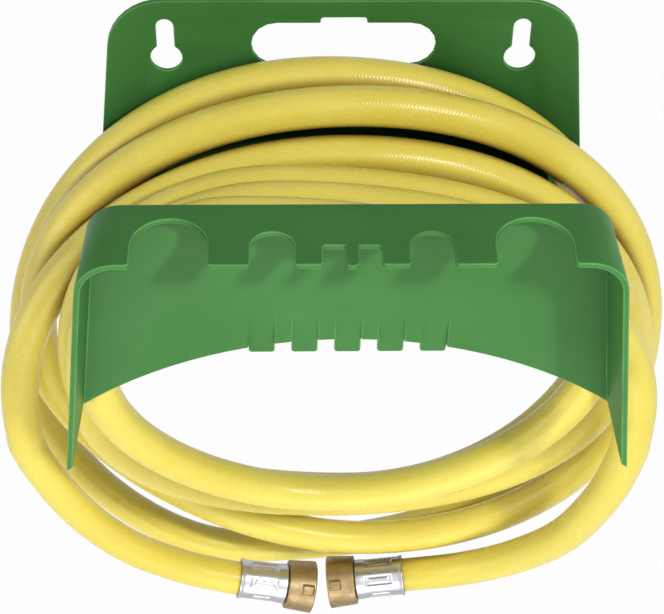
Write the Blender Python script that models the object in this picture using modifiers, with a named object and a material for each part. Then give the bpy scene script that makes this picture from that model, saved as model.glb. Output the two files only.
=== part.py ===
"""Wall hanger for a garden hose, with the ready-made hose that it carries.

One green moulding holds the hose: a back plate with two keyholes and a grip slot, an
arched saddle, a front flange and, round the flange, a shelf with notches for nozzles
and connectors. The hose is wound over the saddle, and each of its ends has a brass
tail, a crimped sleeve, a swivel ring and a flat gasket.

Metres, +Z up. The wall is the plane y = 0, the hanger stands out of it towards -Y, and
z = 0 is the crown of the saddle. x = 0 is the plane of symmetry of the moulding.
The distances of a coupling are measured back from its mouth, along its own axis.
"""

import math

import bmesh
import bpy
import numpy as np
from mathutils import Matrix, Vector

# Back plate
PLATE_THICKNESS = 0.003
PLATE_TOP = 0.0689
PLATE_CORNER_RADIUS = 0.029
PLATE_BORDER = 0.0038
PLATE_RECESS = 0.0007

# Sides and lower edges, the same line for plate and flange
HALF_WIDTH = 0.1143
SIDE_FLARE = 0.115
ARCH_RADIUS = 0.204

# Keyholes and grip slot
KEYHOLE_SPACING = 0.1744
KEYHOLE_HEIGHT = 0.0348
KEYHOLE_HEAD_RADIUS = 0.0078
KEYHOLE_SLOT_RADIUS = 0.0043
KEYHOLE_SLOT_TOP = 0.0577
GRIP_LENGTH = 0.0905
GRIP_RADIUS = 0.0127
GRIP_HEIGHT = 0.0427
GRIP_NOTCH_WIDTH = 0.0225
GRIP_NOTCH_DEPTH = 0.0032

# Saddle
REACH = 0.1308
SADDLE_HALF_WIDTH = 0.108
SADDLE_RADIUS = 0.168
SADDLE_THICKNESS = 0.003
RIB_X = 0.062
RIB_THICKNESS = 0.0025
RIB_DEPTH_AT_WALL = 0.022
RIB_DEPTH_AT_FLANGE = 0.010

# Flange
FLANGE_TOP = 0.055
FLANGE_THICKNESS = 0.0027
FLANGE_ARCH = -0.0296
FLANGE_CORNER_RADIUS = 0.0165

# Shelf round the flange
SHELF_DEPTH = 0.0358
SHELF_WALL = 0.0028
SHELF_DRAFT = 0.0025

# Notches in the shelf's front edge
BIG_NOTCH_X = 0.0779
BIG_NOTCH_WIDTH = 0.0328
BIG_NOTCH_DEPTH = 0.0290
MEDIUM_NOTCH_X = 0.0340
MEDIUM_NOTCH_WIDTH = 0.0188
MEDIUM_NOTCH_DEPTH = 0.0206
CENTRE_NOTCH_WIDTH = 0.0252
CENTRE_NOTCH_DEPTH = 0.0120
TONGUE_WIDTH = 0.0062
TONGUE_PROUD = 0.0010
MOUTH_RADIUS = 0.0016

# Flutes in the flange, each ending in a finger below the arch
FLUTE_COUNT = 5
FLUTE_PITCH = 0.0201
FLUTE_WIDTH = 0.0123
FLUTE_DEPTH = 0.0021
FLUTE_LENGTH = 0.0260
FINGER_DROP = 0.0070
FINGER_CORNER_RADIUS = 0.0015

# Hose
HOSE_RADIUS = 0.010
HOSE_BORE_RADIUS = 0.0064
COIL_QUARTER_STEPS = 6
LEAD_SPAN_STEPS = 2

# How full each quarter of a turn is drawn: 0.55 is a true ellipse
FULLNESS_UP_LEFT = 0.58
FULLNESS_UP_RIGHT = 0.60
FULLNESS_DOWN_RIGHT = 0.54
FULLNESS_DOWN_LEFT = 0.47

# Turning points of the winding: the left side, top, right side and bottom of each turn
TURNS = [
    [(-0.173, -0.064, -0.161), (0.001, -0.050, 0.012), (0.159, -0.053, -0.145), (0.018, -0.040, -0.298)],
    [(-0.163, -0.036, -0.132), (0.006, -0.037, 0.032), (0.166, -0.031, -0.146), (-0.055, -0.013, -0.340)],
    [(-0.175, -0.014, -0.179), (-0.008, -0.014, 0.032), (0.148, -0.014, -0.133), (0.007, -0.016, -0.281)],
    [(-0.136, -0.079, -0.102), (-0.032, -0.077, 0.016), (0.147, -0.074, -0.101), (-0.004, -0.048, -0.251)],
    [(-0.130, -0.101, -0.098), (-0.034, -0.100, 0.026), (0.129, -0.096, -0.071), (-0.005, -0.099, -0.184)],
    [(-0.121, -0.123, -0.063), (-0.051, -0.123, 0.037), (0.147, -0.117, -0.108)],
]

# Couplings: the middle of each mouth, and a point further back on its axis
MOUTH_LEFT = (-0.0145, -0.054, -0.3287)
MOUTH_RIGHT = (-0.0044, -0.054, -0.3240)
AXIS_POINT_LEFT = (-0.0590, -0.054, -0.3191)
AXIS_POINT_RIGHT = (0.0385, -0.054, -0.3175)

# Free stretches between each coupling and the winding, from the coupling on
ROUTE_LEFT = [(-0.094, -0.055, -0.305), (-0.124, -0.058, -0.281),
              (-0.149, -0.060, -0.247), (-0.166, -0.063, -0.206)]
ROUTE_RIGHT = [(0.075, -0.061, -0.302), (0.103, -0.076, -0.271),
               (0.126, -0.095, -0.226), (0.141, -0.110, -0.171)]

# Swivel ring
RING_LENGTH = 0.0165
RING_BACK_RADIUS = 0.0146
RING_FRONT_RADIUS = 0.0158
RING_EDGE_RADIUS = 0.0012
RING_BACK_CHAMFER = 0.0009
RING_BORE_RADIUS = 0.0132
RING_LIP = 0.0032
LUG_LENGTH = 0.0050
LUG_WIDTH = 0.0056
LUG_HEIGHT = 0.0011
LUG_START = 0.0040
LUG_COUNT = 2

# Barbed tail
TAIL_BORE_RADIUS = 0.0043
TAIL_FLANGE_THICKNESS = 0.0022
TAIL_NECK_RADIUS = 0.0084
BARB_COUNT = 4
BARB_PITCH = 0.0055
BARB_HEIGHT = 0.0007

# Gasket
GASKET_THICKNESS = 0.0025
GASKET_HOLE_RADIUS = 0.0075

# Crimped sleeve
SLEEVE_LENGTH = 0.0290
SLEEVE_END_WALL = 0.0010
SLEEVE_RADIUS = 0.0120
SLEEVE_WAIST_RADIUS = 0.0111
SLEEVE_LIP_RADIUS = 0.01225
SLEEVE_LIP_LENGTH = 0.0016
SLEEVE_WAIST_LENGTH = 0.0045
RECESS_COUNT = 6
RECESS_LENGTH = 0.0150
RECESS_WIDTH = 0.0048
RECESS_DEPTH = 0.0005

# Working allowances
CLEARANCE = 0.0003
OVERCUT = 0.0050
WELD = 0.0010
COPLANAR_SHIFT = 0.00004

# Colours, as linear red, green and blue
GREEN = (0.075, 0.255, 0.060)
HOSE_YELLOW = (0.750, 0.640, 0.110)
BRASS = (0.470, 0.330, 0.150)
ALUMINIUM = (0.780, 0.790, 0.800)
GASKET_BLACK = (0.025, 0.025, 0.027)


# Scene helpers

def clear_scene():
    for thing in list(bpy.data.objects):
        bpy.data.objects.remove(thing, do_unlink=True)
    for group in list(bpy.data.collections):
        bpy.data.collections.remove(group)


def new_collection(name):
    group = bpy.data.collections.new(name)
    bpy.context.scene.collection.children.link(group)
    return group


def new_material(name, colour, roughness, metallic=0.0):
    material = bpy.data.materials.new(name)
    material.use_nodes = True
    shader = material.node_tree.nodes["Principled BSDF"]
    shader.inputs["Base Color"].default_value = (*colour, 1.0)
    shader.inputs["Roughness"].default_value = roughness
    shader.inputs["Metallic"].default_value = metallic
    material.diffuse_color = (*colour, 1.0)
    return material


def object_from_bmesh(name, mesh_data, group, material=None):
    """Object with outward faces from a bmesh, which is freed."""
    bmesh.ops.recalc_face_normals(mesh_data, faces=mesh_data.faces)
    mesh = bpy.data.meshes.new(name)
    mesh_data.to_mesh(mesh)
    mesh_data.free()
    thing = bpy.data.objects.new(name, mesh)
    group.objects.link(thing)
    if material:
        mesh.materials.append(material)
    return thing


def as_tool(thing):
    """Marks an object that only cuts or joins another."""
    thing.hide_render = True
    thing.display_type = "WIRE"
    return thing


def boolean(target, tool, operation):
    modifier = target.modifiers.new(f"{operation.lower()} {tool.name}", "BOOLEAN")
    modifier.operation = operation
    modifier.solver = "EXACT"
    modifier.object = as_tool(tool)


# Outlines, as lists of points in one plane

def arc(centre_a, centre_b, radius, start, end, steps):
    """Points of an arc, angles in degrees, both ends included."""
    angles = np.radians(np.linspace(start, end, steps + 1))
    return [(centre_a + radius * math.cos(t), centre_b + radius * math.sin(t)) for t in angles]


def side_x(z):
    """Half width of plate and flange at a height: their sides flare downwards."""
    return HALF_WIDTH + SIDE_FLARE * (FLANGE_TOP - z)


def arch_z(x, crown, radius=ARCH_RADIUS):
    """Height of an arch whose crown is at the given height."""
    return crown - radius + math.sqrt(radius**2 - x**2)


def lower_corner(crown, grow):
    """Where the flared side meets the arched lower edge."""
    z = crown
    for _ in range(30):
        z = arch_z(side_x(z) + grow, crown)
    return side_x(z) + grow, z


def mirrored(right_half):
    """Closed outline from the points of its right half, listed from top to bottom."""
    left_half = [(-x, z) for x, z in reversed(right_half) if x > 1e-9]
    return right_half + left_half


def panel_outline(top, corner_radius, crown, grow=0.0, corner_steps=8, arch_steps=14):
    """Outline of the plate or the flange: round upper corners, flared sides, arched lower edge.

    grow moves the sides outwards, which gives the shelf its draft.
    """
    lean = math.degrees(math.atan(SIDE_FLARE))
    slope = math.sqrt(1.0 + SIDE_FLARE**2)
    centre_z = top - corner_radius
    centre_x = side_x(centre_z) + grow - corner_radius * slope
    points = arc(centre_x, centre_z, corner_radius, 90.0, lean, corner_steps)
    corner_x, corner_z = lower_corner(crown, grow)
    points.append((corner_x, corner_z))
    for step in range(1, arch_steps + 1):
        x = corner_x * (1.0 - step / arch_steps)
        points.append((x, arch_z(x, crown)))
    return mirrored(points)


def stadium(centre_x, centre_z, half_length, radius, steps=8):
    right = arc(centre_x + half_length - radius, centre_z, radius, -90.0, 90.0, steps)
    left = arc(centre_x - half_length + radius, centre_z, radius, 90.0, 270.0, steps)
    return right + left


def keyhole(centre_x):
    """Round head opening with a narrower slot above it."""
    half_gap = math.degrees(math.asin(KEYHOLE_SLOT_RADIUS / KEYHOLE_HEAD_RADIUS))
    head = arc(centre_x, KEYHOLE_HEIGHT, KEYHOLE_HEAD_RADIUS, 90.0 + half_gap, 450.0 - half_gap, 20)
    slot_centre = KEYHOLE_SLOT_TOP - KEYHOLE_SLOT_RADIUS
    return head + arc(centre_x, slot_centre, KEYHOLE_SLOT_RADIUS, 0.0, 180.0, 8)


def round_notch(centre_x, width, depth, edge_y):
    """Notch with a half-round end, cut into an edge that faces -Y, with rounded mouth corners."""
    radius = width / 2.0
    end_y = edge_y + depth - radius
    mouth_y = edge_y + MOUTH_RADIUS
    outside_y = edge_y - OVERCUT
    right = [(centre_x + radius + MOUTH_RADIUS, outside_y)]
    right += arc(centre_x + radius + MOUTH_RADIUS, mouth_y, MOUTH_RADIUS, 270.0, 180.0, 4)
    end = arc(centre_x, end_y, radius, 0.0, 180.0, 14)
    left = [(2.0 * centre_x - x, y) for x, y in reversed(right)]
    return right + end + left


def square_notch(centre_x, width, depth, edge_y):
    half = width / 2.0
    mouth_y = edge_y + MOUTH_RADIUS
    right = [(centre_x + half + MOUTH_RADIUS, edge_y - OVERCUT)]
    right += arc(centre_x + half + MOUTH_RADIUS, mouth_y, MOUTH_RADIUS, 270.0, 180.0, 4)
    end_x = centre_x + half - MOUTH_RADIUS
    right += arc(end_x, edge_y + depth - MOUTH_RADIUS, MOUTH_RADIUS, 0.0, 90.0, 4)
    left = [(2.0 * centre_x - x, y) for x, y in reversed(right)]
    return right + left


# Solids from outlines

PLANES = {
    "XZ": lambda a, b, depth: (a, depth, b),
    "XY": lambda a, b, depth: (a, b, depth),
    "YZ": lambda a, b, depth: (depth, a, b),
}


def add_prism(mesh_data, outline, plane, low, high, far_outline=None):
    """Adds a closed solid between an outline at one depth and the same, or another, at the next."""
    place = PLANES[plane]
    far_outline = far_outline or outline
    near = [mesh_data.verts.new(place(a, b, low)) for a, b in outline]
    far = [mesh_data.verts.new(place(a, b, high)) for a, b in far_outline]
    mesh_data.faces.new(near)
    mesh_data.faces.new(list(reversed(far)))
    count = len(near)
    for index in range(count):
        after = (index + 1) % count
        mesh_data.faces.new((near[after], near[index], far[index], far[after]))
    return near, far


def prisms(name, group, outlines, plane, low, high):
    """One object of equal-depth prisms, one for each outline."""
    mesh_data = bmesh.new()
    for outline in outlines:
        add_prism(mesh_data, outline, plane, low, high)
    return object_from_bmesh(name, mesh_data, group)


# The moulding

PLATE_FRONT = -PLATE_THICKNESS
FLANGE_BACK = PLATE_FRONT - REACH
FLANGE_FRONT = FLANGE_BACK - FLANGE_THICKNESS
SHELF_EDGE = FLANGE_FRONT - SHELF_DEPTH


def make_plate(group, material):
    outline = panel_outline(PLATE_TOP, PLATE_CORNER_RADIUS, FLANGE_ARCH)
    mesh_data = bmesh.new()
    near, _ = add_prism(mesh_data, outline, "XZ", PLATE_FRONT, 0.0)
    bmesh.ops.recalc_face_normals(mesh_data, faces=mesh_data.faces)
    front = [face for face in mesh_data.faces if all(v in near for v in face.verts)]
    bmesh.ops.inset_region(
        mesh_data, faces=front, thickness=PLATE_BORDER, depth=-PLATE_RECESS, use_even_offset=True
    )
    return object_from_bmesh("wall_hanger", mesh_data, group, material)


def make_saddle(group):
    """Arched shelf from the plate to the flange, sunk a little into both."""
    steps = 22
    xs = [SADDLE_HALF_WIDTH * (1.0 - 2.0 * step / steps) for step in range(steps + 1)]
    top = [(x, arch_z(x, 0.0, SADDLE_RADIUS)) for x in xs]
    under = [(x, z - SADDLE_THICKNESS) for x, z in reversed(top)]
    near = FLANGE_BACK - WELD
    far = PLATE_FRONT + WELD + PLATE_RECESS
    return prisms("saddle_form", group, [top + under], "XZ", near, far)


def make_ribs(group):
    """Two webs that brace the saddle from below."""
    mesh_data = bmesh.new()
    top = arch_z(RIB_X + RIB_THICKNESS / 2.0, 0.0, SADDLE_RADIUS) - SADDLE_THICKNESS / 2.0
    under = arch_z(RIB_X, 0.0, SADDLE_RADIUS) - SADDLE_THICKNESS
    near = FLANGE_BACK - WELD
    far = PLATE_FRONT + WELD + PLATE_RECESS
    outline = [
        (near, top),
        (far, top),
        (far, under - RIB_DEPTH_AT_WALL),
        (near, under - RIB_DEPTH_AT_FLANGE),
    ]
    for side in (-1.0, 1.0):
        middle = side * RIB_X
        add_prism(mesh_data, outline, "YZ", middle - RIB_THICKNESS / 2.0, middle + RIB_THICKNESS / 2.0)
    return object_from_bmesh("rib_form", mesh_data, group)


def make_tray(group):
    """Flange and shelf in one: a drafted block, open to the front and below."""
    mesh_data = bmesh.new()
    back = panel_outline(FLANGE_TOP, FLANGE_CORNER_RADIUS, FLANGE_ARCH)
    rim = panel_outline(FLANGE_TOP, FLANGE_CORNER_RADIUS + SHELF_DRAFT, FLANGE_ARCH, SHELF_DRAFT)
    add_prism(mesh_data, rim, "XZ", SHELF_EDGE, FLANGE_BACK, far_outline=back)
    return object_from_bmesh("tray_form", mesh_data, group)


def make_tray_hollow(group):
    """The space in front of the flange and inside the shelf."""
    inner_top = FLANGE_TOP - SHELF_WALL
    corner = FLANGE_CORNER_RADIUS - SHELF_WALL
    crown = FLANGE_ARCH - 2.0 * FINGER_DROP
    over = OVERCUT / SHELF_DEPTH
    front_draft = SHELF_DRAFT * (1.0 + over)
    front = panel_outline(inner_top, corner + front_draft, crown, front_draft - SHELF_WALL)
    back = panel_outline(inner_top, corner, crown, -SHELF_WALL)
    mesh_data = bmesh.new()
    add_prism(mesh_data, front, "XZ", SHELF_EDGE - OVERCUT, FLANGE_FRONT, far_outline=back)
    return object_from_bmesh("tray_hollow", mesh_data, group)


def flute_centres():
    middle = (FLUTE_COUNT - 1) / 2.0
    return [FLUTE_PITCH * (index - middle) for index in range(FLUTE_COUNT)]


def lean_back(thing, start_z, end_z):
    """Shears a solid so that it sinks by the flute's depth from start_z down to end_z."""
    for vertex in thing.data.vertices:
        share = (start_z - vertex.co.z) / (start_z - end_z)
        vertex.co.y += FLUTE_DEPTH * share


def make_fingers(group):
    """Floors of the flutes, which run on below the arch as short fingers."""
    end_z = FLANGE_ARCH - FINGER_DROP
    start_z = end_z + FLUTE_LENGTH
    outlines = []
    radius = FINGER_CORNER_RADIUS
    for x in flute_centres():
        half = FLUTE_WIDTH / 2.0
        outline = arc(x + half - radius, end_z + radius, radius, 0.0, -90.0, 3)
        outline += arc(x - half + radius, end_z + radius, radius, -90.0, -180.0, 3)
        outline += [(x - half, start_z - WELD), (x + half, start_z - WELD)]
        outlines.append(outline)
    thing = prisms("finger_form", group, outlines, "XZ", FLANGE_FRONT, FLANGE_BACK)
    lean_back(thing, start_z, end_z)
    return thing


def make_flute_cutter(group):
    """Clears the flange in front of the flutes' floors."""
    end_z = FLANGE_ARCH - FINGER_DROP
    start_z = end_z + FLUTE_LENGTH
    half = FLUTE_WIDTH / 2.0
    outlines = []
    for x in flute_centres():
        low = end_z - OVERCUT
        outlines.append([(x - half, low), (x + half, low), (x + half, start_z), (x - half, start_z)])
    back = FLANGE_FRONT + COPLANAR_SHIFT
    thing = prisms("flute_cutter", group, outlines, "XZ", FLANGE_FRONT - OVERCUT, back)
    lean_back(thing, start_z, end_z)
    return thing


def make_plate_cutter(group):
    """Two keyholes and the grip slot with its finger notch."""
    half = KEYHOLE_SPACING / 2.0
    outlines = [keyhole(-half), keyhole(half)]
    grip = stadium(0.0, GRIP_HEIGHT, GRIP_LENGTH / 2.0, GRIP_RADIUS)
    outlines.append(grip)
    return prisms("plate_cutter", group, outlines, "XZ", PLATE_FRONT - OVERCUT, OVERCUT)


def make_grip_notch_cutter(group):
    half = GRIP_NOTCH_WIDTH / 2.0
    top = GRIP_HEIGHT + GRIP_RADIUS + GRIP_NOTCH_DEPTH
    radius = GRIP_NOTCH_DEPTH / 2.0
    outline = [(half, GRIP_HEIGHT)]
    outline += arc(half - radius, top - radius, radius, 0.0, 90.0, 3)
    outline += arc(-half + radius, top - radius, radius, 90.0, 180.0, 3)
    outline.append((-half, GRIP_HEIGHT))
    return prisms("grip_notch_cutter", group, [outline], "XZ", PLATE_FRONT - OVERCUT, OVERCUT)


def make_notch_cutter(group):
    """All notches of the shelf's front edge."""
    outlines = []
    for side in (-1.0, 1.0):
        outlines.append(round_notch(side * BIG_NOTCH_X, BIG_NOTCH_WIDTH, BIG_NOTCH_DEPTH, SHELF_EDGE))
        outlines.append(
            round_notch(side * MEDIUM_NOTCH_X, MEDIUM_NOTCH_WIDTH, MEDIUM_NOTCH_DEPTH, SHELF_EDGE)
        )
    outlines.append(square_notch(0.0, CENTRE_NOTCH_WIDTH, CENTRE_NOTCH_DEPTH, SHELF_EDGE))
    low = FLANGE_TOP - SHELF_WALL - OVERCUT / 2.0
    return prisms("notch_cutter", group, outlines, "XY", low, FLANGE_TOP + OVERCUT)


def make_tongue(group):
    """Round-ended tongue in the middle of the centre notch."""
    half = TONGUE_WIDTH / 2.0
    end_y = SHELF_EDGE - TONGUE_PROUD
    root_y = SHELF_EDGE + CENTRE_NOTCH_DEPTH + WELD
    outline = arc(0.0, end_y + half, half, 180.0, 360.0, 8)
    outline += [(half, root_y), (-half, root_y)]
    low = FLANGE_TOP - SHELF_WALL + COPLANAR_SHIFT
    return prisms("tongue_form", group, [outline], "XY", low, FLANGE_TOP - COPLANAR_SHIFT)


def make_hanger(group, tools, material):
    hanger = make_plate(group, material)
    boolean(hanger, make_plate_cutter(tools), "DIFFERENCE")
    boolean(hanger, make_grip_notch_cutter(tools), "DIFFERENCE")
    tray = make_tray(tools)
    boolean(tray, make_tray_hollow(tools), "DIFFERENCE")
    boolean(tray, make_notch_cutter(tools), "DIFFERENCE")
    boolean(tray, make_tongue(tools), "UNION")
    boolean(tray, make_fingers(tools), "UNION")
    boolean(tray, make_flute_cutter(tools), "DIFFERENCE")
    saddle = make_saddle(tools)
    boolean(saddle, make_ribs(tools), "UNION")
    boolean(hanger, saddle, "UNION")
    boolean(hanger, tray, "UNION")
    return hanger


# Hose

def quarter_turn(start, end, upright_first, fullness, steps):
    """Points of one quarter of a turn, without its last point.

    The quarter leaves its start upright and meets its end level, or the reverse.
    """
    span = end - start
    upright = fullness * span * np.array([0.0, 0.0, 1.0])
    level = fullness * span * np.array([1.0, 0.0, 0.0])
    first, last = (upright, level) if upright_first else (level, upright)
    t = np.arange(steps)[:, None] / steps
    u = 1.0 - t
    ends = u**3 * start + t**3 * end
    return ends + 3.0 * u**2 * t * (start + first) + 3.0 * u * t**2 * (end - last)


def straight_offset(length):
    return np.array([0.0, 0.0, length])


def winding_path():
    """Centre line of the winding, upright at both ends for one hose diameter."""
    stations = [np.array(point) for turn in TURNS for point in turn]
    fullness = [FULLNESS_UP_LEFT, FULLNESS_UP_RIGHT, FULLNESS_DOWN_RIGHT, FULLNESS_DOWN_LEFT]
    quarters = []
    for index, (start, end) in enumerate(zip(stations, stations[1:])):
        upright_first = index % 2 == 0
        quarters.append(
            quarter_turn(start, end, upright_first, fullness[index % 4], COIL_QUARTER_STEPS)
        )
    points = np.vstack(quarters + [stations[-1:]])
    rise = straight_offset(2.0 * HOSE_RADIUS)
    return np.vstack([points[:1], points[:1] + rise, points[1:-1], points[-1:] + rise, points[-1:]])


def smooth_path(points, steps):
    """Points of a smooth curve that passes through the given ones, ends included."""
    points = np.array(points)
    before = np.vstack([points[:1], points[:-2]])
    after = np.vstack([points[2:], points[-1:]])
    path = []
    for p0, p1, p2, p3 in zip(before, points[:-1], points[1:], after):
        for t in np.arange(steps) / steps:
            bend = 2.0 * p0 - 5.0 * p1 + 4.0 * p2 - p3
            twist = 3.0 * (p1 - p2) + p3 - p0
            path.append(p1 + 0.5 * (t * (p2 - p0) + t**2 * bend + t**3 * twist))
    return np.array(path + [points[-1]])


def lead_path(coupling, route, station):
    """Centre line of a free stretch, from inside its sleeve to the end of the winding."""
    drop = straight_offset(CLEARANCE)
    straight = straight_offset(2.0 * HOSE_RADIUS)
    start = axis_point(coupling, SLEEVE_BACK + HOSE_RADIUS / 2.0)
    end = np.array(station) - drop - straight
    free = smooth_path([start] + list(route) + [end], LEAD_SPAN_STEPS)
    return np.vstack([axis_point(coupling, HOSE_FACE), free, end + straight])


def least_gap(path, radius):
    """Least distance between the surfaces of stretches that lie apart along one tube."""
    t = np.arange(6)[:, None] / 6.0
    pieces = [start * (1.0 - t) + end * t for start, end in zip(path, path[1:])]
    dense = np.vstack(pieces + [path[-1:]])
    along = np.concatenate([[0.0], np.cumsum(np.linalg.norm(np.diff(dense, axis=0), axis=1))])
    distance = np.linalg.norm(dense[:, None] - dense[None], axis=2)
    distance[np.abs(along[:, None] - along[None]) < 8.0 * radius] = np.inf
    return distance.min() - 2.0 * radius


def make_tube(name, path, bevel_resolution, group, material):
    """Solid tube along a path, as a mesh that can be cut."""
    curve = bpy.data.curves.new(name, "CURVE")
    curve.dimensions = "3D"
    curve.bevel_depth = HOSE_RADIUS
    curve.bevel_resolution = bevel_resolution
    curve.use_fill_caps = True
    spline = curve.splines.new("POLY")
    spline.points.add(len(path) - 1)
    for point, place in zip(spline.points, path):
        point.co = (*place, 1.0)
    drawn = bpy.data.objects.new(name + "_curve", curve)
    group.objects.link(drawn)
    bpy.context.view_layer.update()
    evaluated = drawn.evaluated_get(bpy.context.evaluated_depsgraph_get())
    mesh_data = bmesh.new()
    mesh_data.from_mesh(evaluated.to_mesh())
    bmesh.ops.remove_doubles(mesh_data, verts=mesh_data.verts, dist=0.00001)
    bpy.data.objects.remove(drawn)
    return object_from_bmesh(name, mesh_data, group, material)


def make_winding(group, material):
    path = winding_path()
    print(f"hose_coil: least gap to itself {1000.0 * least_gap(path, HOSE_RADIUS):.2f} mm")
    return make_tube("hose_coil", path, 1, group, material)


def make_lead(name, coupling, route, station, group, tools, material):
    """Free stretch of hose, with its bore open at the coupling."""
    path = lead_path(coupling, route, station)
    tube = make_tube(name, path, 4, group, material)
    length = SPIGOT_LENGTH + 2.0 * CLEARANCE
    mesh_data = bmesh.new()
    bmesh.ops.create_cone(
        mesh_data,
        cap_ends=True,
        segments=16,
        radius1=HOSE_BORE_RADIUS,
        radius2=HOSE_BORE_RADIUS,
        depth=length + OVERCUT,
    )
    cutter = object_from_bmesh(name + "_bore", mesh_data, tools)
    cutter.parent = coupling
    cutter.location = (0.0, 0.0, -HOSE_FACE - (length - OVERCUT) / 2.0)
    boolean(tube, cutter, "DIFFERENCE")
    return tube


# Couplings

SEAT_FRONT = RING_LENGTH - RING_LIP - CLEARANCE - TAIL_FLANGE_THICKNESS
SLEEVE_FRONT = RING_LENGTH + CLEARANCE
HOSE_FACE = SLEEVE_FRONT + SLEEVE_END_WALL + CLEARANCE
SLEEVE_BACK = SLEEVE_FRONT + SLEEVE_LENGTH
SPIGOT_LENGTH = BARB_COUNT * BARB_PITCH


def place_coupling(name, mouth, axis_back, group):
    """Empty at a coupling's mouth, with +Z along the axis and out of the mouth."""
    along = (Vector(mouth) - Vector(axis_back)).normalized()
    towards_front = Vector((0.0, -1.0, 1.0))
    across = (towards_front - towards_front.dot(along) * along).normalized()
    turn = Matrix((across, along.cross(across), along)).transposed()
    empty = bpy.data.objects.new(name, None)
    empty.location = mouth
    empty.rotation_euler = turn.to_euler()
    group.objects.link(empty)
    bpy.context.view_layer.update()
    return empty


def axis_point(coupling, distance):
    """World place of the point this far behind a coupling's mouth."""
    return np.array(coupling.matrix_world @ Vector((0.0, 0.0, -distance)))


def make_turned(name, profile, coupling, group, material):
    """Ring turned about a coupling's axis.

    The profile is a closed line of (radius, distance behind the mouth), which runs back
    along the outside and forward along the inside.
    """
    mesh = bpy.data.meshes.new(name)
    count = len(profile)
    edges = [(index, (index + 1) % count) for index in range(count)]
    mesh.from_pydata([(radius, 0.0, -distance) for radius, distance in profile], edges, [])
    mesh.materials.append(material)
    thing = bpy.data.objects.new(name, mesh)
    group.objects.link(thing)
    thing.parent = coupling
    screw = thing.modifiers.new("turn", "SCREW")
    screw.steps = 32
    screw.render_steps = 32
    screw.use_merge_vertices = True
    screw.merge_threshold = 0.00001
    return thing


def add_block(mesh_data, size, place, angle):
    """Adds a box whose place is given before it is turned by an angle about the axis."""
    turn = Matrix.Rotation(angle, 4, "Z") @ Matrix.Translation(place) @ Matrix.Diagonal((*size, 1.0))
    bmesh.ops.create_cube(mesh_data, size=1.0, matrix=turn)


def make_lugs(name, coupling, tools):
    mesh_data = bmesh.new()
    depth = LUG_HEIGHT + RING_FRONT_RADIUS - RING_BORE_RADIUS - WELD
    middle = RING_FRONT_RADIUS + LUG_HEIGHT - depth / 2.0
    for index in range(LUG_COUNT):
        size = (depth, LUG_WIDTH, LUG_LENGTH)
        place = (middle, 0.0, -LUG_START - LUG_LENGTH / 2.0)
        add_block(mesh_data, size, place, 2.0 * math.pi * index / LUG_COUNT)
    lugs = object_from_bmesh(name, mesh_data, tools)
    lugs.parent = coupling
    return lugs


def make_ring(name, coupling, group, tools, material):
    """Swivel ring: bore towards the mouth, lip behind the tail's flange, two grip lugs."""
    edge = RING_EDGE_RADIUS
    front = arc(RING_FRONT_RADIUS - edge, edge, edge, -90.0, 0.0, 4)
    profile = front + [
        (RING_BACK_RADIUS, RING_LENGTH - RING_BACK_CHAMFER),
        (RING_BACK_RADIUS - RING_BACK_CHAMFER, RING_LENGTH),
        (TAIL_NECK_RADIUS + CLEARANCE, RING_LENGTH),
        (TAIL_NECK_RADIUS + CLEARANCE, RING_LENGTH - RING_LIP),
        (RING_BORE_RADIUS, RING_LENGTH - RING_LIP),
        (RING_BORE_RADIUS, edge / 2.0),
        (RING_BORE_RADIUS + edge / 2.0, 0.0),
    ]
    ring = make_turned(name, profile, coupling, group, material)
    boolean(ring, make_lugs(name + "_lugs", coupling, tools), "UNION")
    return ring


def make_tail(name, coupling, group, material):
    """Brass tail: flange inside the ring, neck through its lip, barbs inside the hose."""
    flange_radius = RING_BORE_RADIUS - 2.0 * CLEARANCE
    flange_back = SEAT_FRONT + TAIL_FLANGE_THICKNESS
    neck_back = HOSE_FACE - CLEARANCE
    barb_radius = HOSE_BORE_RADIUS - CLEARANCE
    root_radius = barb_radius - BARB_HEIGHT
    profile = [
        (flange_radius, SEAT_FRONT),
        (flange_radius, flange_back),
        (TAIL_NECK_RADIUS, flange_back),
        (TAIL_NECK_RADIUS, neck_back),
        (root_radius, neck_back),
    ]
    for index in range(BARB_COUNT):
        crest = HOSE_FACE + BARB_PITCH * (index + 0.3)
        profile += [(root_radius, crest), (barb_radius, crest), (root_radius, crest + 0.7 * BARB_PITCH)]
    end = HOSE_FACE + SPIGOT_LENGTH
    profile[-1] = (root_radius - BARB_HEIGHT / 2.0, end)
    profile += [(TAIL_BORE_RADIUS, end), (TAIL_BORE_RADIUS, SEAT_FRONT)]
    return make_turned(name, profile, coupling, group, material)


def make_gasket(name, coupling, group, material):
    back = SEAT_FRONT - CLEARANCE
    front = back - GASKET_THICKNESS
    outside = RING_BORE_RADIUS - 2.0 * CLEARANCE
    profile = [
        (outside, front),
        (outside, back),
        (GASKET_HOLE_RADIUS, back),
        (GASKET_HOLE_RADIUS, front),
    ]
    return make_turned(name, profile, coupling, group, material)


def make_recesses(name, coupling, tools):
    mesh_data = bmesh.new()
    middle = (SLEEVE_FRONT + SLEEVE_BACK) / 2.0 - SLEEVE_WAIST_LENGTH / 2.0
    for index in range(RECESS_COUNT):
        size = (OVERCUT, RECESS_WIDTH, RECESS_LENGTH)
        place = (SLEEVE_RADIUS - RECESS_DEPTH + OVERCUT / 2.0, 0.0, -middle)
        add_block(mesh_data, size, place, 2.0 * math.pi * index / RECESS_COUNT)
    recesses = object_from_bmesh(name, mesh_data, tools)
    recesses.parent = coupling
    return recesses


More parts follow.
